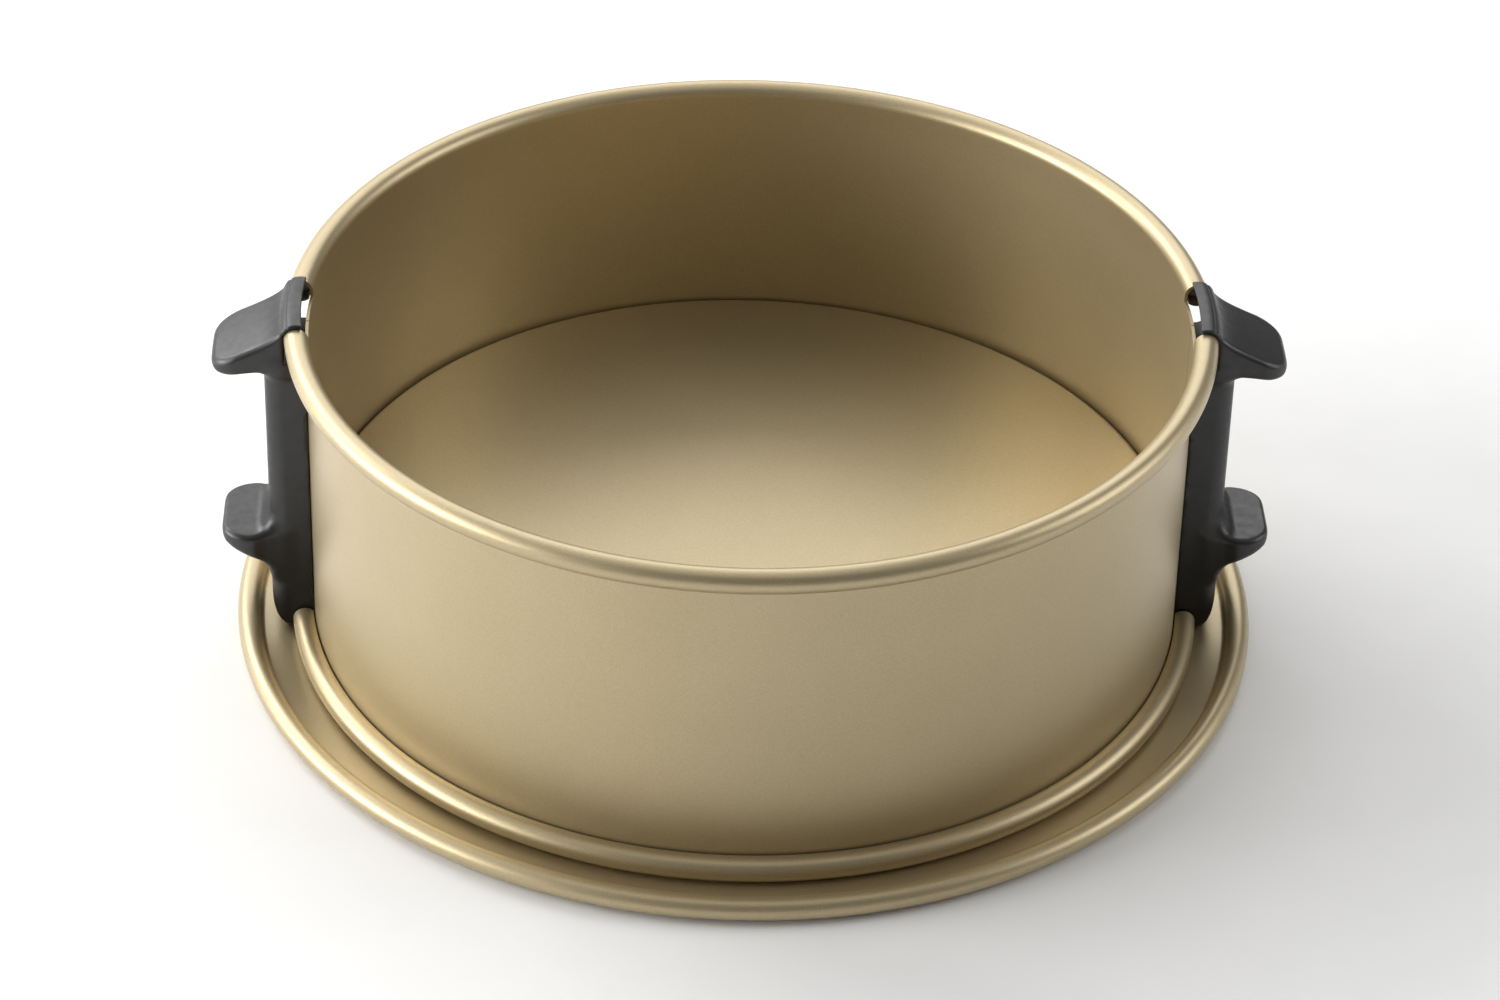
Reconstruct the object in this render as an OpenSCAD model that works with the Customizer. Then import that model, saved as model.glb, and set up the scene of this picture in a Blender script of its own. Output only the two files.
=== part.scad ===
// Two-piece springform pan: a tray base with a raised centre, a ring in two halves, two slide-on clips.
// Origin: pan axis at the resting face. +Z up, clips on the X axis, front half on the -Y side.

/* [Ring] */
// Inside diameter of the ring
inner_d = 228.6; // [200:0.2:260]
// Height of the top of the ring above the resting face
ring_top = 95.3; // [85:0.1:110]
// Thickness of the pressed sheet
sheet = 0.8; // [0.6:0.1:0.9]
// Diameter of the rolled bead along the top edge
top_bead_d = 6.4; // [6:0.1:7]
// Diameter of the rolled bead along the lower edge
low_bead_d = 6.6; // [6:0.1:7]
// Width of the stretch at each clip where both beads are cut away
bead_break = 23.6; // [23:0.1:26]
// Height of the wall's plain edge below the top of the ring, between the bead ends
notch_drop = 4.9; // [4:0.1:6]

/* [Base] */
// Height of the raised centre above the resting face
plug_top = 26.5; // [12:0.5:30]
// Radius of the raised centre's edge
plug_edge_r = 2; // [1.5:0.1:3]
// Clearance between the raised centre and the ring
plug_gap = 0.3; // [0.2:0.05:0.5]
// Outside diameter over the rolled rim
base_d = 271; // [268:0.5:280]
// Diameter of the rolled rim
rim_bead_d = 6; // [5.5:0.1:7]

/* [Clips] */
// Width of a clip's upright body, along the ring
body_w = 22.4; // [20:0.1:22.4]
// Distance that the body stands out from the inside of the ring
body_reach = 11.9; // [11:0.1:13]
// Distance that the upper finger tab stands out from the inside of the ring
tab_reach = 25.8; // [24:0.1:27]
// Distance that the lower finger tab stands out from the inside of the ring
low_tab_reach = 25; // [23:0.1:27]
// Width of the cap and the upper tab
cap_w = 24.6; // [24:0.1:26]
// Width of the lower tab
low_tab_w = 27; // [23:0.1:28]
// Height of the lower tab's upper face
low_tab_z = 31.2; // [26:0.1:45]
// Thickness of the steel channel inside a clip
channel_t = 1; // [0.8:0.1:1]

/* [Hidden] */

$fn = 96;
gold = [0.70, 0.64, 0.50];
wire_steel = [0.62, 0.62, 0.63];
channel_steel = [0.50, 0.50, 0.52];
grip_black = [0.10, 0.10, 0.11];

// Ring
ri = inner_d / 2;
ro = ri + sheet;
rt = top_bead_d / 2;
rl = low_bead_d / 2;
seat_gap = 0.1;
low_bead_z = sheet + seat_gap + rl;
top_bead_z = ring_top - rt;
notch_z = ring_top - notch_drop;
wire_gap = 0.3;
wire_inset_a = 1.5;
curl_end = 50;
seam_gap = 0.3;
bead_break_a = asin(bead_break / 2 / (ri + rt));

// Folded hems along the seam, which the channel slides over
hem_gap = 2.2;
hem_reach = 7.6;
hem_x = ro + hem_gap;
hem_z0 = 6;
hem_z1 = ring_top - 12.3;

// Base
plug_r = ri - plug_gap;
foot_r = 1.2;
rim_r = rim_bead_d / 2;
rim_x = base_d / 2 - rim_r;
rim_z = rim_r + 0.65;
rim_foot_r = 1.4;
rim_wall_x = rim_x - rim_r;

// Clips
run_gap = 0.3;
channel_x = hem_x + sheet + 0.4;
channel_back = channel_x + channel_t;
channel_w = 18.6;
lip_in = 2;
lip_x = ro + 0.4;
back_x = ri + body_reach;
tip_x = ri + tab_reach;
low_tip_x = ri + low_tab_reach;
clip_z0 = 1.3;
body_corner = 5;
deck_z0 = hem_z1 + run_gap;
deck_z1 = deck_z0 + 1.5;
cap_r = rt + 1.25;
cap_x = ri + rt;
crease_a = 36;
cap_inner_a = 22;
crease = [cap_x + cap_r * sin(crease_a), top_bead_z + cap_r * cos(crease_a)];
groove_r = 0.3;
post_x = ri + 6.3;
upper_foot = [back_x - 0.3, crease[1] - 18.5];
low_foot_z = low_tab_z - 14;
low_root_z = low_tab_z + 9;

// Points of a cubic curve from a to d with handles b and c
function curve(a, b, c, d, n = 14) = [
    for (i = [0:n])
        let (t = i / n, u = 1 - t)
            a * u * u * u + b * 3 * u * u * t + c * 3 * u * t * t + d * t * t * t
];

// Points of an arc about c, from angle a0 to a1, counted anticlockwise from +X
function arc(c, r, a0, a1, n = 14) = [
    for (i = [0:n])
        let (a = a0 + (a1 - a0) * i / n)
            [c[0] + r * cos(a), c[1] + r * sin(a)]
];

// Wedge about the origin from angle a0 to a1, under 180 degrees apart
module wedge(r, a0, a1) {
    polygon(concat([[0, 0]], arc([0, 0], r, a0, a1, 4)));
}

// Quarter of a sheet bend, in the quadrant that starts at angle a
module bend(r_out, a) {
    rotate(a)
    intersection() {
        difference() {
            circle(r_out);
            circle(r_out - sheet);
        }
        square(r_out + 1);
    }
}

// Sheet that comes up a wall on the left and curls over and round a wire, almost back to the wall
module curl(r) {
    difference() {
        circle(r);
        circle(r - sheet);
        wedge(r + 1, 180, 180 + curl_end);
    }
}

// Revolves a profile from angle a0 to a1 about the pan axis
module sweep(a0, a1) {
    rotate([0, 0, a0])
    rotate_extrude(angle = a1 - a0, $fn = 192)
    children();
}

// ---- Base: one pressed sheet with a rolled rim ----

module base_profile() {
    floor_end = rim_wall_x - rim_foot_r;
    translate([0, plug_top - sheet])
    square([plug_r - plug_edge_r, sheet]);
    translate([plug_r - plug_edge_r, plug_top - plug_edge_r])
    bend(plug_edge_r, 0);
    translate([plug_r - sheet, sheet + foot_r])
    square([sheet, plug_top - plug_edge_r - sheet - foot_r]);
    translate([plug_r + foot_r, sheet + foot_r])
    bend(foot_r + sheet, 180);
    translate([plug_r + foot_r, 0])
    square([floor_end - plug_r - foot_r, sheet]);
    translate([floor_end, sheet + rim_foot_r])
    bend(rim_foot_r + sheet, 270);
    translate([rim_wall_x, sheet + rim_foot_r])
    square([sheet, rim_z - sheet - rim_foot_r]);
    translate([rim_x, rim_z])
    curl(rim_r);
}

module base_tray() {
    color(gold)
    rotate_extrude($fn = 192)
    base_profile();
}

module base_rim_wire() {
    color(wire_steel)
    rotate_extrude($fn = 192)
    translate([rim_x, rim_z])
    circle(rim_r - sheet - wire_gap);
}

// ---- Ring halves: rolled sheet with hems at both ends, modelled on the +Y side ----

module ring_profile() {
    translate([ri + rt, top_bead_z])
    curl(rt);
    translate([ri, low_bead_z])
    square([sheet, top_bead_z - low_bead_z]);
    translate([ri + rl, low_bead_z])
    mirror([0, 1])
    curl(rl);
}

// What is cut from the sheet beside the +X seam, so that both beads stop short of it
module bead_cut() {
    depth = ri / 4;
    translate([ri - depth / 2, -bead_break / 2, notch_z])
    cube([depth, bead_break, ring_top]);
    translate([ri - depth / 2, -bead_break / 2, -ring_top])
    cube([depth, bead_break, ring_top + low_bead_z + sheet / 2]);
    intersection() {
        difference() {
            cylinder(h = ring_top, r = ri + depth, $fn = 192);
            translate([0, 0, -1])
            cylinder(h = ring_top + 2, r = ro + 0.15, $fn = 192);
        }
        translate([ri - depth / 2, -bead_break / 2, -1])
        cube([2 * depth, bead_break, ring_top * 2]);
    }
}

// Hem at the end on the +X side: a short flange, then a leaf folded back along the wall
module hem() {
    translate([0, 0, hem_z0])
    linear_extrude(hem_z1 - hem_z0) {
        translate([ro - sheet / 2, -1])
        square([hem_x - ro + sheet * 1.5, sheet + seam_gap / 2 + 1]);
        translate([hem_x, -1])
        square([sheet, hem_reach + 1]);
    }
}

module ring_half() {
    difference() {
        union() {
            difference() {
                sweep(-2, 182)
                ring_profile();
                bead_cut();
                mirror([1, 0, 0])
                bead_cut();
            }
            hem();
            mirror([1, 0, 0])
            hem();
        }
        // flat meeting face, half the seam's gap from the X axis
        translate([-2 * ri, seam_gap / 2 - ri, -1])
        cube([4 * ri, ri, ring_top * 2]);
    }
}

module bead_wire(r, z) {
    sweep(bead_break_a + wire_inset_a, 180 - bead_break_a - wire_inset_a)
    translate([ri + r, z])
    circle(r - sheet - wire_gap);
}

module rear_ring_half() {
    color(gold)
    ring_half();
}

module rear_top_wire() {
    color(wire_steel)
    bead_wire(rt, top_bead_z);
}

module rear_lower_wire() {
    color(wire_steel)
    bead_wire(rl, low_bead_z);
}

module front_ring_half() {
    mirror([0, 1, 0])
    rear_ring_half();
}

module front_top_wire() {
    mirror([0, 1, 0])
    rear_top_wire();
}

module front_lower_wire() {
    mirror([0, 1, 0])
    rear_lower_wire();
}

// ---- Clips: a moulded grip over a steel channel, modelled on the +X side ----

// Extrudes a side view, drawn in X and Z, to width w about the X axis
module side_view(w) {
    rotate([90, 0, 0])
    linear_extrude(w, center = true)
    children();
}

// Plan of a piece that widens from the body's width to w, and reaches x1 with corners of radius r
module plan(x1, w, r, flare_x0, flare_x1) {
    mid = (flare_x0 + flare_x1) / 2;
    polygon(concat(
        [[ri - 2, -body_w / 2]],
        curve([flare_x0, -body_w / 2], [mid, -body_w / 2], [mid, -w / 2], [flare_x1, -w / 2]),
        arc([x1 - r, -w / 2 + r], r, -90, 0),
        arc([x1 - r, w / 2 - r], r, 0, 90),
        curve([flare_x1, w / 2], [mid, w / 2], [mid, body_w / 2], [flare_x0, body_w / 2]),
        [[ri - 2, body_w / 2]]
    ));
}

module body_plan() {
    r = body_corner;
    polygon(concat(
        [[ri - 2, -body_w / 2]],
        arc([back_x - r, -body_w / 2 + r], r, -90, 0),
        arc([back_x - r, body_w / 2 - r], r, 0, 90),
        [[ri - 2, body_w / 2]]
    ));
}

// Keeps what lies inside a front view that is w wide above z1, and narrows downwards to w0 at z0
module narrowing(w0, w, z0, z1) {
    mid = (z0 + z1) / 2;
    intersection() {
        children();
        rotate([90, 0, 90])
        linear_extrude(2 * ri)
        polygon(concat(
            curve([-w0 / 2, z0], [-w0 / 2, mid], [-w / 2, mid], [-w / 2, z1]),
            [[-w / 2, ring_top + 9], [w / 2, ring_top + 9]],
            curve([w / 2, z1], [w / 2, mid], [w0 / 2, mid], [w0 / 2, z0])
        ));
    }
}

module body_side() {
    polygon(concat(
        [[ri - 2, clip_z0]],
        curve([ri + 6.5, clip_z0], [ri + 10, clip_z0], [back_x, clip_z0 + 4], [back_x, clip_z0 + 9]),
        [[back_x, deck_z1], [ri - 2, deck_z1]]
    ));
}

// Side view of the upper tab: it dips from the crease, then flattens towards the tip
module upper_tab_side() {
    polygon(concat(
        curve(crease, crease + [3, -5], crease + [9, -6.8], [tip_x - 0.3, crease[1] - 12]),
        arc([tip_x - 2, crease[1] - 13.5], 2, 20, -90, 8),
        curve([tip_x - 3, crease[1] - 15.5], [tip_x - 7, crease[1] - 14.8],
              [back_x, crease[1] - 12.5], upper_foot),
        [[post_x, upper_foot[1]], [post_x, crease[1] - 1]]
    ));
}

module lower_tab_side() {
    polygon(concat(
        [[post_x, low_root_z]],
        curve([back_x - 0.3, low_root_z], [back_x + 0.2, low_tab_z + 3], [back_x + 2, low_tab_z],
              [back_x + 7, low_tab_z]),
        arc([low_tip_x - 1.4, low_tab_z - 1.4], 1.4, 90, 0, 6),
        arc([low_tip_x - 2.4, low_tab_z - 2.2], 2.4, 0, -75, 6),
        curve([low_tip_x - 4, low_tab_z - 5], [back_x + 3, low_tab_z - 6.4],
              [back_x + 0.8, low_tab_z - 8.5], [back_x - 0.3, low_foot_z]),
        [[post_x, low_foot_z]]
    ));
}

// Solid cap over the bead ends, before the room for the beads is cut from it
module clip_cap() {
    intersection() {
        sweep(-8, 8)
        translate([cap_x, top_bead_z])
        intersection() {
            difference() {
                circle(cap_r);
                circle(rt - 0.6);
            }
            wedge(cap_r + 2, 90 - crease_a - 30, 90 + cap_inner_a);
        }
        side_view(cap_w)
        translate([ri - 5, top_bead_z])
        square(20);
    }
}

module upper_tab() {
    narrowing(body_w - body_corner, cap_w, upper_foot[1], upper_foot[1] + 12)
    intersection() {
        sweep(-8, 8)
        upper_tab_side();
        linear_extrude(ring_top * 2)
        plan(tip_x - 0.2, cap_w, 8, ri + 1, ri + 2);
    }
}

module lower_tab() {
    narrowing(body_w - body_corner, low_tab_w, low_foot_z, low_tab_z - 4)
    translate([0, 0, 2 * low_tab_z])
    mirror([0, 0, 1])
    narrowing(body_w - body_corner, low_tab_w, 2 * low_tab_z - low_root_z, low_tab_z)
    translate([0, 0, 2 * low_tab_z])
    mirror([0, 0, 1])
    intersection() {
        side_view(low_tab_w + 1)
        lower_tab_side();
        linear_extrude(ring_top * 2)
        plan(low_tip_x, low_tab_w, 8, ri + 6.5, ri + 14);
    }
}

// Room for the top bead that ends on the +Y side of the body
module bead_room() {
    intersection() {
        sweep(3, bead_break_a + 6)
        translate([cap_x, top_bead_z])
        circle(rt + run_gap);
        translate([ri - 5, bead_break / 2 - run_gap, 0])
        cube([20, 20, ring_top * 2]);
    }
}

module clip_grip() {
    difference() {
        union() {
            intersection() {
                side_view(body_w + 1)
                body_side();
                linear_extrude(ring_top * 2)
                body_plan();
            }
            upper_tab();
            lower_tab();
            clip_cap();
        }
        // room for the ring wall
        translate([0, 0, -1])
        cylinder(h = deck_z1 + 3, r = ro + run_gap, $fn = 192);
        // pocket for the steel channel, closed above by the deck
        translate([ri - 3, -channel_w / 2 - 0.05, -1])
        cube([channel_back + 0.05 - ri + 3, channel_w + 0.1, deck_z0 + 1]);
        bead_room();
        mirror([0, 1, 0])
        bead_room();
        // fine groove along the crease between the cap and the tab
        sweep(-8, 8)
        translate(crease)
        circle(groove_r);
    }
}

module clip_channel() {
    translate([0, 0, hem_z0 - 2])
    linear_extrude(deck_z0 - 0.1 - hem_z0 + 2) {
        translate([channel_x, -channel_w / 2])
        square([channel_t, channel_w]);
        for (side = [0, 1])
            mirror([0, side]) {
                translate([lip_x, channel_w / 2 - channel_t])
                square([channel_back - lip_x, channel_t]);
                translate([lip_x, lip_in])
                square([channel_t, channel_w / 2 - lip_in]);
            }
    }
}

module right_clip_grip() {
    color(grip_black)
    clip_grip();
}

module right_clip_channel() {
    color(channel_steel)
    clip_channel();
}

module left_clip_grip() {
    mirror([1, 0, 0])
    right_clip_grip();
}

module left_clip_channel() {
    mirror([1, 0, 0])
    right_clip_channel();
}

base_tray();
base_rim_wire();
front_ring_half();
front_top_wire();
front_lower_wire();
rear_ring_half();
rear_top_wire();
rear_lower_wire();
left_clip_grip();
left_clip_channel();
right_clip_grip();
right_clip_channel();
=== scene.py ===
import math

import bmesh
import bpy
import numpy as np
from mathutils import Matrix, Vector


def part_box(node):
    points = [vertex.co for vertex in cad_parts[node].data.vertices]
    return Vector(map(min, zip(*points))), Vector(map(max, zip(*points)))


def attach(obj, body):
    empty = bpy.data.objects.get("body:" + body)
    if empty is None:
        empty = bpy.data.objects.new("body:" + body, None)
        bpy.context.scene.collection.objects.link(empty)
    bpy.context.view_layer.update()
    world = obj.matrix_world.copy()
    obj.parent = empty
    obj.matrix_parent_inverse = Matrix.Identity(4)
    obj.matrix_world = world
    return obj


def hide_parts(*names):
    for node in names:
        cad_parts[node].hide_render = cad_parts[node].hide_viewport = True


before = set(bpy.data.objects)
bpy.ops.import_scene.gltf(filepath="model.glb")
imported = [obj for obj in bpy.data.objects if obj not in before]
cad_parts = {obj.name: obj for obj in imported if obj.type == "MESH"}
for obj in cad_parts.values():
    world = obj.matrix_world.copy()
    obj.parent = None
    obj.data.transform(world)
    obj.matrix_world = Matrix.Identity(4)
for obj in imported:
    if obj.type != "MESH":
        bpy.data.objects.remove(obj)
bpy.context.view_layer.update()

MM = 0.001

# ---- Sizes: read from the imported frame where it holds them, otherwise those of the CAD ----

base_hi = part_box("base_tray")[1]
half_lo, half_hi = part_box("rear_ring_half")
TOP_WIRE_LO, TOP_WIRE_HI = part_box("rear_top_wire")
LOW_WIRE_LO, LOW_WIRE_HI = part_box("rear_lower_wire")
RIM_WIRE_LO, RIM_WIRE_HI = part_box("base_rim_wire")

SHEET = 0.8 * MM
NOTCH_DROP = 4.9 * MM
TOP_Z = (TOP_WIRE_LO.z + TOP_WIRE_HI.z) / 2
LOW_Z = (LOW_WIRE_LO.z + LOW_WIRE_HI.z) / 2
TOP_R = half_hi.z - TOP_Z
LOW_R = LOW_Z - half_lo.z
RING_RI = half_hi.y - 2 * max(TOP_R, LOW_R)
RING_RO = RING_RI + SHEET
NOTCH_Z = half_hi.z - NOTCH_DROP
LOW_CUT_Z = LOW_Z + SHEET / 2
BREAK_Y = 11.8 * MM
SEAM_Y = 0.15 * MM
HEM_X = RING_RO + 2.2 * MM
HEM_REACH = 7.6 * MM
HEM_BEND = 1.0 * MM
HEM_Z0 = 6 * MM
HEM_Z1 = half_hi.z - 12.3 * MM

CURL_END_DEG = 130
BASE_TURNS = 360
HALF_TURNS = 240
END_TURNS = 4

RIM_Z = (RIM_WIRE_LO.z + RIM_WIRE_HI.z) / 2
RIM_R = 3 * MM
RIM_X = base_hi.x - RIM_R
PLUG_GAP = 0.3 * MM
PLUG_R = RING_RI - PLUG_GAP
PLUG_TOP = base_hi.z


# ---- Camera ----

def add_camera():
    """A view from the front, just over 34 degrees above the horizon."""
    target = Vector((0.0009, 0.0, 0.0348))
    distance = 1.3
    azimuth = math.radians(-92.25)
    elevation = math.radians(34.53)
    roll = math.radians(1.52)
    back = Vector((
        math.cos(elevation) * math.cos(azimuth),
        math.cos(elevation) * math.sin(azimuth),
        math.sin(elevation),
    ))
    right = Vector((-math.sin(azimuth), math.cos(azimuth), 0))
    up = back.cross(right)
    x = right * math.cos(roll) + up * math.sin(roll)
    y = up * math.cos(roll) - right * math.sin(roll)
    data = bpy.data.cameras.new("camera")
    data.sensor_width = 36
    data.lens = 117.55
    data.clip_start = 0.05
    data.clip_end = 20
    camera = bpy.data.objects.new("camera", data)
    camera.matrix_world = Matrix((
        (x.x, y.x, back.x, 0), (x.y, y.y, back.y, 0), (x.z, y.z, back.z, 0), (0, 0, 0, 1),
    ))
    camera.location = target + back * distance
    bpy.context.scene.collection.objects.link(camera)
    bpy.context.scene.camera = camera


# ---- Mesh helpers ----

def new_piece(name, vertices, faces, material, sharp_deg=40):
    mesh = bpy.data.meshes.new(name)
    mesh.from_pydata([tuple(v) for v in vertices], [], faces)
    bm = bmesh.new()
    bm.from_mesh(mesh)
    bmesh.ops.remove_doubles(bm, verts=bm.verts, dist=1e-7)
    bmesh.ops.recalc_face_normals(bm, faces=bm.faces)
    bm.to_mesh(mesh)
    bm.free()
    mesh.shade_smooth()
    mesh.set_sharp_from_angle(angle=math.radians(sharp_deg))
    mesh.materials.append(material)
    piece = bpy.data.objects.new(name, mesh)
    bpy.context.scene.collection.objects.link(piece)
    return piece


def arc(cx, cz, r, a0, a1, n):
    """Points round (cx, cz) from angle a0 to a1 in degrees."""
    angles = np.radians(np.linspace(a0, a1, n + 1))
    return [(cx + r * math.cos(a), cz + r * math.sin(a)) for a in angles]


def line(p, q, n):
    return [(p[0] + (q[0] - p[0]) * t, p[1] + (q[1] - p[1]) * t) for t in np.linspace(0, 1, n + 1)]


def path_of(*runs):
    """Joins runs of points, dropping the doubled ends."""
    points = []
    for run in runs:
        for p in run:
            if not points or math.dist(points[-1], p) > 1e-7:
                points.append(p)
    return np.array(points)


def both_sides(path, t):
    """The two faces of a sheet of thickness t along a path."""
    tangent = np.gradient(path, axis=0)
    step = np.diff(path, axis=0)
    tangent[0], tangent[-1] = step[0], step[-1]
    unit = step / np.linalg.norm(step, axis=1)[:, None]
    tangent[1:-1] = unit[:-1] + unit[1:]
    tangent /= np.linalg.norm(tangent, axis=1)[:, None]
    normal = np.column_stack([-tangent[:, 1], tangent[:, 0]])
    return path + normal * t / 2, path - normal * t / 2


# ---- Pieces: base ----

def make_base(material):
    edge, foot, rim_foot = 2 * MM, 1.2 * MM, 1.4 * MM
    s = SHEET
    wall_x = RIM_X - RIM_R + s / 2
    floor_z = s / 2
    path = path_of(
        line((0.0, PLUG_TOP - s / 2), (PLUG_R - edge, PLUG_TOP - s / 2), 24),
        arc(PLUG_R - edge, PLUG_TOP - edge, edge - s / 2, 90, 0, 8),
        line((PLUG_R - s / 2, PLUG_TOP - edge), (PLUG_R - s / 2, s + foot), 6),
        arc(PLUG_R + foot, s + foot, foot + s / 2, 180, 270, 8),
        line((PLUG_R + foot, floor_z), (wall_x - rim_foot - s / 2, floor_z), 6),
        arc(wall_x - s / 2 - rim_foot, s + rim_foot, rim_foot + s / 2, 270, 360, 8),
        line((wall_x, s + rim_foot), (wall_x, RIM_Z), 1),
        arc(RIM_X, RIM_Z, RIM_R - s / 2, 180, -CURL_END_DEG, 44),
    )
    upper, lower = both_sides(path, s)
    upper[0, 0] = lower[0, 0] = 0
    vertices, faces = [], []
    rings = np.vstack([upper, lower[::-1]])
    n = len(rings)
    for k in range(BASE_TURNS):
        a = 2 * math.pi * k / BASE_TURNS
        vertices += [(r * math.cos(a), r * math.sin(a), z) for r, z in rings]
    for k in range(BASE_TURNS):
        a, b = k * n, (k + 1) % BASE_TURNS * n
        for i in range(n - 1):
            quad = (a + i, b + i, b + i + 1, a + i + 1)
            if i == 0:
                quad = (a, b + 1, a + 1)
            if i == n - 2:
                quad = (a + i, b + i, a + n - 1)
            faces.append(quad)
    piece = new_piece("tray_sheet", vertices, faces, material)
    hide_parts("base_tray")
    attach(piece, "base")


# ---- Pieces: ring halves ----

def make_ring_half(name, node, side, material):
    """One rolled half of the ring. side is 1 for the rear half and -1 for the front one."""
    s = SHEET
    mid = RING_RI + s / 2
    wall = [LOW_Z, LOW_CUT_Z] + list(np.linspace(LOW_CUT_Z, NOTCH_Z, 20)[1:-1]) + [NOTCH_Z, TOP_Z]
    path = path_of(
        arc(RING_RI + LOW_R, LOW_Z, LOW_R - s / 2, CURL_END_DEG, -180, 48),
        [(mid, z) for z in wall],
        arc(RING_RI + TOP_R, TOP_Z, TOP_R - s / 2, 180, -CURL_END_DEG, 48),
    )
    inner, outer = both_sides(path, s)
    n = len(path)
    i0 = int(np.argmin(np.abs(path[:, 1] - LOW_CUT_Z) + np.abs(path[:, 0] - mid)))
    i1 = int(np.argmin(np.abs(path[:, 1] - NOTCH_Z) + np.abs(path[:, 0] - mid)))
    loop = np.vstack([inner, outer[::-1]])
    count = len(loop)
    r, z = loop[:, 0], loop[:, 1]
    cut = np.arcsin(BREAK_Y / r)
    seam = np.arcsin(SEAM_Y / r)
    rows = [cut + (math.pi - 2 * cut) * t for t in np.linspace(0, 1, HALF_TURNS + 1)]
    first_end = [cut + (seam - cut) * t for t in np.linspace(0, 1, END_TURNS + 1)][1:]
    last_end = [math.pi - a for a in first_end]
    vertices, faces = [], []

    def add_row(angles):
        start = len(vertices)
        vertices.extend(zip(r * np.cos(angles), side * r * np.sin(angles), z))
        return start

    main = [add_row(a) for a in rows]
    for a, b in zip(main[:-1], main[1:]):
        for i in range(count):
            j = (i + 1) % count
            faces.append((a + i, b + i, b + j, a + j))

    def outer_index(i):
        return 2 * n - 1 - i

    wall_loop = list(range(i0, i1 + 1)) + [outer_index(i) for i in range(i1, i0 - 1, -1)]
    low_cap = list(range(0, i0 + 1)) + [outer_index(i) for i in range(i0, -1, -1)]
    top_cap = list(range(i1, n)) + [outer_index(i) for i in range(n - 1, i1 - 1, -1)]
    for start, ends in ((main[0], first_end), (main[-1], last_end)):
        faces.append([start + i for i in low_cap])
        faces.append([start + i for i in top_cap])
        a = start
        for angles in ends:
            b = add_row(angles)
            for i, j in zip(wall_loop, wall_loop[1:] + wall_loop[:1]):
                faces.append((a + i, b + i, b + j, a + j))
            a = b
        faces.append([a + i for i in wall_loop])
    used = sorted({v for f in faces for v in f})
    index = {v: k for k, v in enumerate(used)}
    vertices = [vertices[v] for v in used]
    faces = [[index[v] for v in f] for f in faces]
    for x_side in (1, -1):
        add_hem(vertices, faces, x_side, side)
    piece = new_piece(name, vertices, faces, material)
    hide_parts(node)
    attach(piece, "ring")


def add_hem(vertices, faces, x_side, side):
    """The folded hem at one end of a half: a closed bent strip, with its root inside the wall sheet."""
    s = SHEET
    y = SEAM_Y + s / 2
    path = path_of(
        [(RING_RI + s / 2, y)],
        arc(HEM_X + s / 2 - HEM_BEND, y + HEM_BEND, HEM_BEND, -90, 0, 6),
        [(HEM_X + s / 2, HEM_REACH)],
    )
    left, right = both_sides(path, s)
    loop = np.vstack([left, right[::-1]])
    start = len(vertices)
    n = len(loop)
    for z in (HEM_Z0, HEM_Z1):
        vertices.extend((x_side * x, side * v, z) for x, v in loop)
    for i in range(n):
        j = (i + 1) % n
        faces.append([start + i, start + j, start + n + j, start + n + i])
    faces.append([start + i for i in range(n)])
    faces.append([start + n + i for i in range(n - 1, -1, -1)])


# ---- Pieces: grips ----

# Lengths in millimetres. A reach runs out from the inside of the ring.
GRIP_STEP = 0.32
BODY_REACH = 11.9
POST_REACH = 6.3
POST_DEPTH = 12
BODY_W = 22.4
CAP_W = 24.4
LOW_W = 26.8
LOW_TAB_RISE = 29.9
LOW_TIP_BACK = 0.8
DECK_RISE = 1.6
BODY_CORNER = 5
UPPER_CORNER = 7.5
LOW_CORNER = 8.5
BODY_EDGE = 1.0
UPPER_EDGE = 1.5
LOW_EDGE = 1.7
CAP_EDGE = 0.5
UPPER_FILLET = 3.5
LOW_FILLET = 6.0
CREASE_DEG = 36
CAP_INNER_DEG = 112
CAP_OUTER_DEG = 20
GROOVE_R = 0.3
RUN_GAP = 0.3
BEAD_END_Y = 11.5
POCKET_ROOM = 0.05
# Share of the faces that stays after thinning
THINNED_TO = 0.3


def outline_distance(points, xs, ys):
    """Signed distance from a grid of points to a closed outline, negative inside."""
    gx, gy = np.meshgrid(xs, ys, indexing="ij")
    nearest = np.full(gx.shape, np.inf)
    inside = np.zeros(gx.shape, bool)
    for (ax, ay), (bx, by) in zip(points, points[1:] + points[:1]):
        ex, ey = bx - ax, by - ay
        length = ex * ex + ey * ey
        if length < 1e-12:
            continue
        t = np.clip(((gx - ax) * ex + (gy - ay) * ey) / length, 0, 1)
        nearest = np.minimum(nearest, np.hypot(gx - ax - t * ex, gy - ay - t * ey))
        if ay != by:
            crosses = ((ay > gy) != (by > gy)) & (gx < ax + (gy - ay) * ex / ey)
            inside ^= crosses
    return np.where(inside, -nearest, nearest)


def curve(a, b, c, d, n=16):
    """Points of a cubic curve from a to d with handles b and c."""
    a, b, c, d = (np.array(p, float) for p in (a, b, c, d))
    return [
        tuple(a * (1 - t) ** 3 + b * 3 * (1 - t) ** 2 * t + c * 3 * (1 - t) * t * t + d * t ** 3)
        for t in np.linspace(0, 1, n + 1)
    ]


def meet(a, b, r):
    """The part inside both shapes, with its edges rounded to r."""
    u, v = np.maximum(a + r, 0), np.maximum(b + r, 0)
    return np.minimum(np.maximum(a, b), -r) + np.hypot(u, v)


def blend(a, b, r):
    """Both shapes together, with a fillet of r between them."""
    u, v = np.maximum(r - a, 0), np.maximum(r - b, 0)
    return np.maximum(np.minimum(a, b), r) - np.hypot(u, v)


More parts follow.
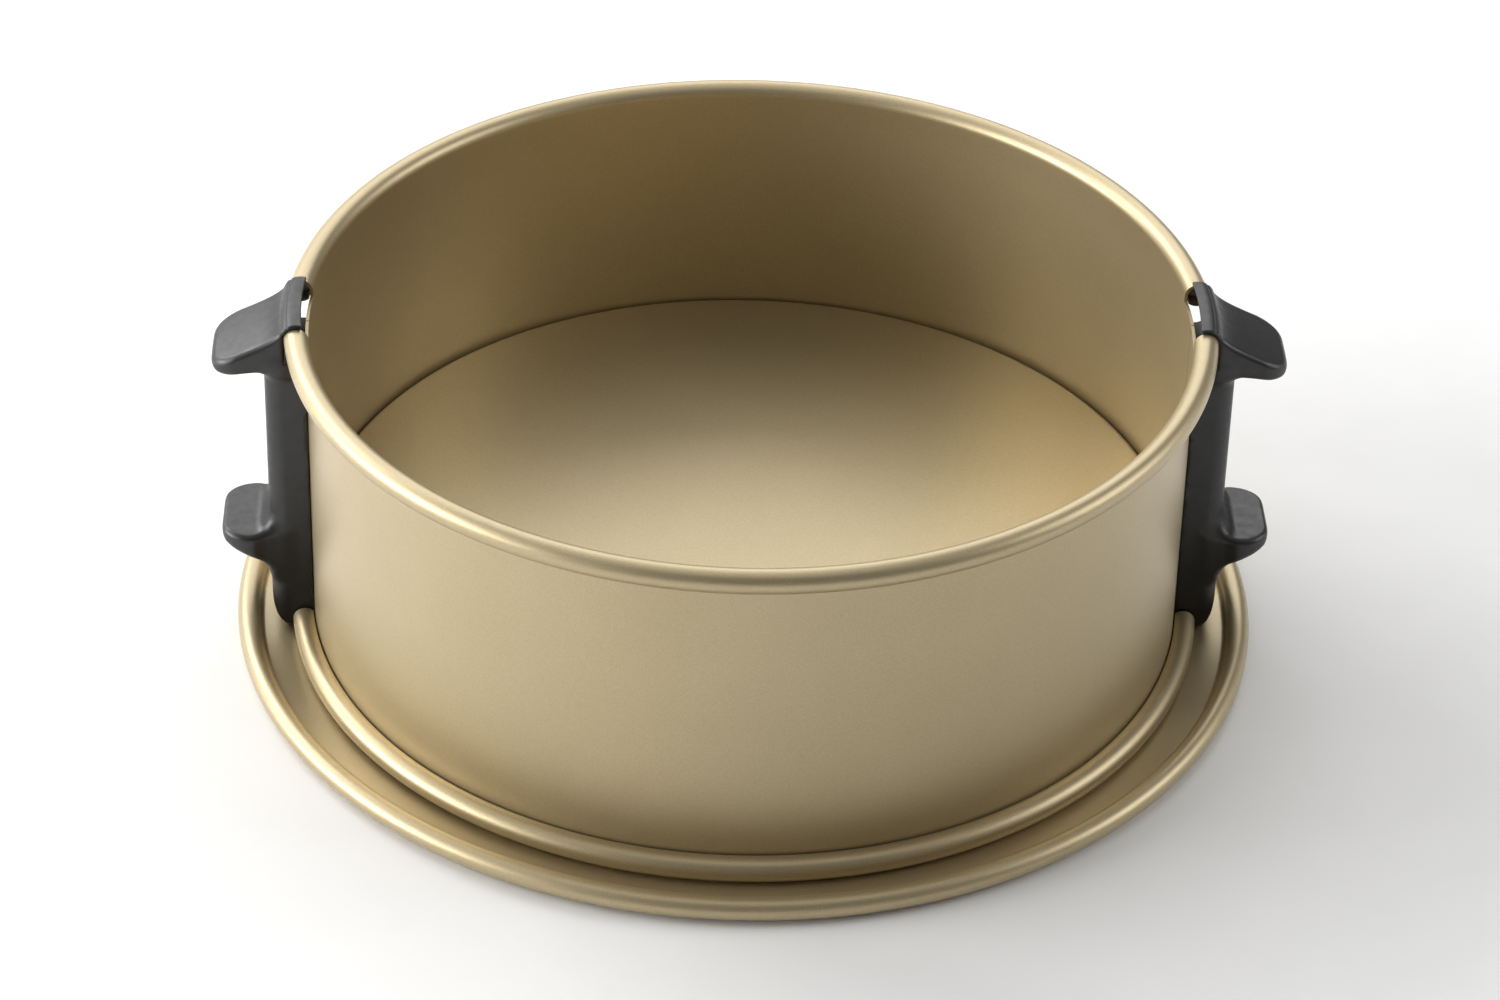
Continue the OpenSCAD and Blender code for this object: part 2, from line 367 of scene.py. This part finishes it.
def surface_of(field, origin, step):
    """Vertices and faces of the surface where a field on a grid is zero."""
    inside = field < 0
    cells = tuple(n - 1 for n in field.shape)
    total = np.zeros((*cells, 3))
    count = np.zeros(cells)
    crossings = []
    for axis in range(3):
        low = [slice(None)] * 3
        high = [slice(None)] * 3
        low[axis], high[axis] = slice(0, -1), slice(1, None)
        a, b = field[tuple(low)], field[tuple(high)]
        i = np.argwhere(inside[tuple(low)] != inside[tuple(high)])
        va, vb = a[tuple(i.T)], b[tuple(i.T)]
        place = i.astype(float)
        place[:, axis] += va / (va - vb)
        others = [k for k in range(3) if k != axis]
        corners = []
        for da, db in ((1, 1), (0, 1), (0, 0), (1, 0)):
            cell = i.copy()
            cell[:, others[0]] -= da
            cell[:, others[1]] -= db
            np.add.at(total, tuple(cell.T), place)
            np.add.at(count, tuple(cell.T), 1)
            corners.append(np.ravel_multi_index(tuple(cell.T), cells))
        quads = np.stack(corners, axis=1)
        turned = (va < 0) == (axis != 1)
        quads[~turned] = quads[~turned][:, ::-1]
        crossings.append(quads)
    used = np.flatnonzero(count.ravel())
    index = np.full(count.size, -1)
    index[used] = np.arange(len(used))
    vertices = total.reshape(-1, 3)[used] / count.ravel()[used][:, None] * step + origin
    return vertices, index[np.vstack(crossings)]


def grip_surface():
    """The +X grip in millimetres, from smooth blends of its body, tabs and cap."""
    grip_lo, grip_hi = (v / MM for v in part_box("right_clip_grip"))
    channel_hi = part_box("right_clip_channel")[1] / MM
    tip, top, foot = grip_hi.x - 0.02, grip_hi.z, grip_lo.z
    low_tip = tip - LOW_TIP_BACK
    back = RING_RI / MM + BODY_REACH
    post = RING_RI / MM + POST_REACH
    bead_x, bead_z = (RING_RI + TOP_R) / MM, TOP_Z / MM
    bead_r = TOP_R / MM
    cap_r = top - bead_z
    crease_x = bead_x + cap_r * math.sin(math.radians(CREASE_DEG))
    crease_z = bead_z + cap_r * math.cos(math.radians(CREASE_DEG))
    deck = channel_hi.z + DECK_RISE
    low_z = foot + LOW_TAB_RISE

    origin = np.array([RING_RO / MM - 1.2, -LOW_W / 2 - 1, foot - 1])
    end = np.array([tip + 1, LOW_W / 2 + 1, top + 1])
    xs, ys, zs = (np.arange(a, b, GRIP_STEP) for a, b in zip(origin, end))

    body_side = outline_distance(
        [(post - POST_DEPTH, foot)]
        + curve((post + 0.2, foot), (post + 3.7, foot), (back, foot + 4), (back, foot + 9))
        + [(back, deck), (post - POST_DEPTH, deck)], xs, zs)
    corner = BODY_CORNER
    body_plan = outline_distance(
        [(post - POST_DEPTH, -BODY_W / 2)]
        + arc(back - corner, -BODY_W / 2 + corner, corner, -90, 0, 12)
        + arc(back - corner, BODY_W / 2 - corner, corner, 0, 90, 12)
        + [(post - POST_DEPTH, BODY_W / 2)], xs, ys)
    upper_side = outline_distance(
        curve((crease_x, crease_z), (crease_x + 3, crease_z - 5), (crease_x + 9, crease_z - 6.8),
              (tip - 1.2, crease_z - 11.7))
        + arc(tip - 1.8, crease_z - 13.5, 1.8, 70, -90, 12)
        + curve((tip - 2, crease_z - 15.3), (tip - 6, crease_z - 15.2), (back + 3, crease_z - 13.6),
                (back - 2, crease_z - 14.4))
        + [(post, crease_z - 14.4), (post, crease_z - 1)], xs, zs)
    corner = UPPER_CORNER
    upper_plan = outline_distance(
        [(post - 4, -CAP_W / 2)]
        + arc(tip - corner, -CAP_W / 2 + corner, corner, -90, 0, 12)
        + arc(tip - corner, CAP_W / 2 - corner, corner, 0, 90, 12)
        + [(post - 4, CAP_W / 2)], xs, ys)
    lower_side = outline_distance(
        [(back, low_z + 0.3), (back + 6, low_z)] + arc(low_tip - 1.5, low_z - 1.5, 1.5, 90, 0, 8)
        + arc(low_tip - 2.4, low_z - 2.2, 2.4, 0, -70, 8)
        + curve((low_tip - 2, low_z - 4.5), (back + 6, low_z - 6), (back + 2, low_z - 7.5),
                (back - 2, low_z - 12))
        + [(post, low_z - 12), (post, low_z + 0.3)], xs, zs)
    corner = LOW_CORNER
    flare = curve((post, -7.5), (back - 0.5, -8.5), (back, -LOW_W / 2), (low_tip - corner, -LOW_W / 2))
    low_plan = outline_distance(
        flare + arc(low_tip - corner, -LOW_W / 2 + corner, corner, -90, 0, 12)
        + arc(low_tip - corner, LOW_W / 2 - corner, corner, 0, 90, 12)
        + [(x, -y) for x, y in reversed(flare)], xs, ys)

    x, y, z = xs[:, None, None], ys[None, :, None], zs[None, None, :]
    radius = np.sqrt(x * x + y * y)
    body = meet(body_side[:, None, :], body_plan[:, :, None], BODY_EDGE)
    lower = meet(lower_side[:, None, :], low_plan[:, :, None], LOW_EDGE)

    # The upper tab's side outline is swept round the pan's axis.
    swept = np.clip((radius - xs[0]) / GRIP_STEP, 0, len(xs) - 1.001)
    cell = swept[:, :, 0].astype(int)
    part = (swept[:, :, 0] - cell)[:, :, None]
    upper_side = upper_side[cell] * (1 - part) + upper_side[np.minimum(cell + 1, len(xs) - 1)] * part
    upper = meet(upper_side, upper_plan[:, :, None], UPPER_EDGE)

    px, pz = radius - bead_x, z - bead_z
    far = np.hypot(px, pz)
    end_a, start_a = math.radians(CAP_INNER_DEG), math.radians(CAP_OUTER_DEG)
    ring = np.maximum(far - cap_r, bead_r - 0.6 - far)
    reach = np.maximum(
        pz * math.cos(end_a) - px * math.sin(end_a), px * math.sin(start_a) - pz * math.cos(start_a))
    cap = meet(np.maximum(ring, reach), np.abs(y) - CAP_W / 2, CAP_EDGE)

    whole = blend(blend(body, upper, UPPER_FILLET), lower, LOW_FILLET)
    whole = np.maximum(whole, np.minimum(post - x, z - deck))
    whole = np.minimum(whole, cap)
    groove = np.hypot(radius - crease_x, z - crease_z) - GROOVE_R
    beads = np.maximum(far - bead_r - RUN_GAP, BEAD_END_Y - np.abs(y))
    pocket = np.maximum(
        np.maximum(x - channel_hi.x - POCKET_ROOM, np.abs(y) - channel_hi.y - POCKET_ROOM),
        z - channel_hi.z - 0.1)
    for room in (groove, beads, pocket, radius - RING_RO / MM - RUN_GAP):
        whole = np.maximum(whole, -room)

    # The fillets swell a little past the lower tab's sides.
    whole = np.maximum(whole, np.abs(y) - LOW_W / 2 - 0.05)
    return surface_of(whole, origin, GRIP_STEP)


def make_grip(name, node, body, side, shape, material):
    """The grip as moulded. side is 1 for the right clip and -1 for the left one."""
    vertices, faces = shape
    piece = new_piece(name, vertices * (side * MM, MM, MM), faces.tolist(), material, 180)
    thin = piece.modifiers.new("thin", "DECIMATE")
    thin.ratio = THINNED_TO
    evaluated = piece.evaluated_get(bpy.context.evaluated_depsgraph_get())
    mesh = bpy.data.meshes.new_from_object(evaluated)
    mesh.name = name
    piece.modifiers.clear()
    piece.data = mesh
    mesh.shade_smooth()
    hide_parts(node)
    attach(piece, body)


# ---- Materials ----

class Nodes:
    """A small wrapper for building one material's node tree."""

    def __init__(self, name):
        self.material = bpy.data.materials.new(name)
        self.material.use_nodes = True
        self.tree = self.material.node_tree
        self.shader = next(n for n in self.tree.nodes if n.type == "BSDF_PRINCIPLED")
        self.position = self.add("ShaderNodeTexCoord").outputs["Object"]

    def add(self, kind, **inputs):
        node = self.tree.nodes.new(kind)
        for key, value in inputs.items():
            node.inputs[key].default_value = value
        return node

    def link(self, a, b):
        self.tree.links.new(a, b)

    def noise(self, scale, detail=2.0, roughness=0.5, vector=None):
        node = self.add("ShaderNodeTexNoise", Scale=scale, Detail=detail, Roughness=roughness)
        self.link(vector or self.position, node.inputs["Vector"])
        return node.outputs["Fac"]

    def ramp(self, factor, *stops):
        node = self.add("ShaderNodeValToRGB")
        ramp = node.color_ramp
        while len(ramp.elements) < len(stops):
            ramp.elements.new(0.5)
        for element, (place, colour) in zip(ramp.elements, stops):
            element.position = place
            element.color = (*colour, 1)
        self.link(factor, node.inputs["Fac"])
        return node.outputs["Color"]

    def span(self, factor, low, high, out_low, out_high):
        node = self.add("ShaderNodeMapRange")
        for key, value in zip(("From Min", "From Max", "To Min", "To Max"), (low, high, out_low, out_high)):
            node.inputs[key].default_value = value
        self.link(factor, node.inputs["Value"])
        return node.outputs["Result"]

    def multiply(self, a, b):
        node = self.tree.nodes.new("ShaderNodeMix")
        node.data_type = "RGBA"
        node.blend_type = "MULTIPLY"
        node.inputs["Factor"].default_value = 1.0
        self.link(a, node.inputs["A"])
        self.link(b, node.inputs["B"])
        return node.outputs["Result"]

    def bump(self, height, strength, distance):
        node = self.add("ShaderNodeBump", Strength=strength, Distance=distance)
        self.link(height, node.inputs["Height"])
        return node.outputs["Normal"]

    def to(self, key, socket):
        self.link(socket, self.shader.inputs[key])


def gold_material():
    m = Nodes("gold_nonstick")
    grain = m.noise(3600, 2.0, 0.55)
    fleck = m.noise(9000, 1.0, 0.5)
    cloud = m.noise(28, 3.0, 0.5)
    base = m.ramp(
        grain, (0.30, (0.47, 0.375, 0.212)), (0.52, (0.52, 0.425, 0.25)), (0.72, (0.575, 0.482, 0.30)))
    wide = m.ramp(cloud, (0.3, (0.95, 0.945, 0.935)), (0.7, (1.0, 1.0, 1.0)))
    m.to("Base Color", m.multiply(base, wide))
    m.shader.inputs["Metallic"].default_value = 0.8
    m.shader.inputs["Coat Weight"].default_value = 0.7
    m.shader.inputs["Coat Roughness"].default_value = 0.38
    m.to("Roughness", m.span(fleck, 0.3, 0.7, 0.40, 0.50))
    m.to("Normal", m.bump(grain, 0.2, 0.00002))
    return m.material


def grip_material():
    m = Nodes("black_grip")
    grain = m.noise(3000, 2.0, 0.5)
    smear = m.noise(420, 4.0, 0.6)
    m.to("Base Color", m.ramp(smear, (0.3, (0.0055, 0.0055, 0.006)), (0.7, (0.009, 0.009, 0.0095))))
    m.shader.inputs["Specular IOR Level"].default_value = 0.7
    m.to("Roughness", m.span(smear, 0.35, 0.65, 0.47, 0.37))
    m.to("Normal", m.bump(grain, 0.15, 0.00002))
    return m.material


def steel_material(name, colour, stretch):
    m = Nodes(name)
    mapping = m.add("ShaderNodeMapping")
    mapping.inputs["Scale"].default_value = stretch
    m.link(m.position, mapping.inputs["Vector"])
    brushed = m.noise(900, 3.0, 0.6, mapping.outputs["Vector"])
    dark = tuple(c * 0.75 for c in colour)
    m.to("Base Color", m.ramp(brushed, (0.3, dark), (0.7, colour)))
    m.shader.inputs["Metallic"].default_value = 1.0
    m.to("Roughness", m.span(brushed, 0.3, 0.7, 0.28, 0.45))
    m.to("Normal", m.bump(brushed, 0.15, 0.00002))
    return m.material


def floor_material():
    m = Nodes("floor_paper")
    grain = m.noise(60, 2.0, 0.5)
    m.to("Base Color", m.ramp(grain, (0.3, (0.95, 0.95, 0.95)), (0.7, (0.97, 0.97, 0.97))))
    m.shader.inputs["Roughness"].default_value = 0.9
    m.shader.inputs["Specular IOR Level"].default_value = 0.2
    return m.material


# ---- Studio ----

def add_floor():
    size = 6.0
    mesh = bpy.data.meshes.new("floor")
    mesh.from_pydata(
        [(-size, -size, 0), (size, -size, 0), (size, size, 0), (-size, size, 0)], [], [(0, 1, 2, 3)]
    )
    mesh.materials.append(floor_material())
    floor = bpy.data.objects.new("floor", mesh)
    floor.location.z = -0.0002
    bpy.context.scene.collection.objects.link(floor)


def add_light(name, place, aim, width, height, power):
    data = bpy.data.lights.new(name, "AREA")
    data.shape = "RECTANGLE"
    data.size = width
    data.size_y = height
    data.energy = power
    light = bpy.data.objects.new(name, data)
    light.location = place
    light.rotation_euler = (Vector(aim) - Vector(place)).to_track_quat("-Z", "Y").to_euler()
    bpy.context.scene.collection.objects.link(light)


def add_studio():
    world = bpy.data.worlds.new("studio")
    world.use_nodes = True
    background = next(n for n in world.node_tree.nodes if n.type == "BACKGROUND")
    background.inputs["Color"].default_value = (1.0, 1.0, 1.0, 1)
    background.inputs["Strength"].default_value = 0.14
    bpy.context.scene.world = world
    bpy.context.scene.view_settings.view_transform = "Standard"
    middle = (0, 0, 0.05)
    add_light("left_low", (-1.7, -0.2, 0.45), middle, 1.6, 0.5, 22)
    add_light("left", (-1.7, 0, 0.9), middle, 1.0, 1.0, 11)
    add_light("left_back", (-1.3, 1.2, 1.1), middle, 1.0, 1.0, 21)
    add_light("back", (0, 1.7, 1.1), middle, 1.8, 0.9, 12)
    add_light("back_high", (0, 1.2, 1.9), middle, 1.6, 0.9, 6)
    add_light("right", (1.7, 0, 0.9), middle, 1.0, 1.0, 11)
    add_light("top", (0, 0, 1.8), middle, 1.6, 1.6, 5)
    add_floor()


add_camera()
gold = gold_material()
grip = grip_material()
wire = steel_material("bead_wire", (0.62, 0.62, 0.63), (1.0, 1.0, 1.0))
channel = steel_material("channel_steel", (0.55, 0.55, 0.56), (1.0, 1.0, 0.05))

make_base(gold)
make_ring_half("rear_half_sheet", "rear_ring_half", 1, gold)
make_ring_half("front_half_sheet", "front_ring_half", -1, gold)
grip_shape = grip_surface()
make_grip("left_grip_moulding", "left_clip_grip", "left_clip", -1, grip_shape, grip)
make_grip("right_grip_moulding", "right_clip_grip", "right_clip", 1, grip_shape, grip)

for node, material in (
    ("base_rim_wire", wire), ("front_top_wire", wire), ("front_lower_wire", wire),
    ("rear_top_wire", wire), ("rear_lower_wire", wire),
    ("left_clip_channel", channel), ("right_clip_channel", channel),
):
    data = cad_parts[node].data
    data.materials.clear()
    data.materials.append(material)

add_studio()
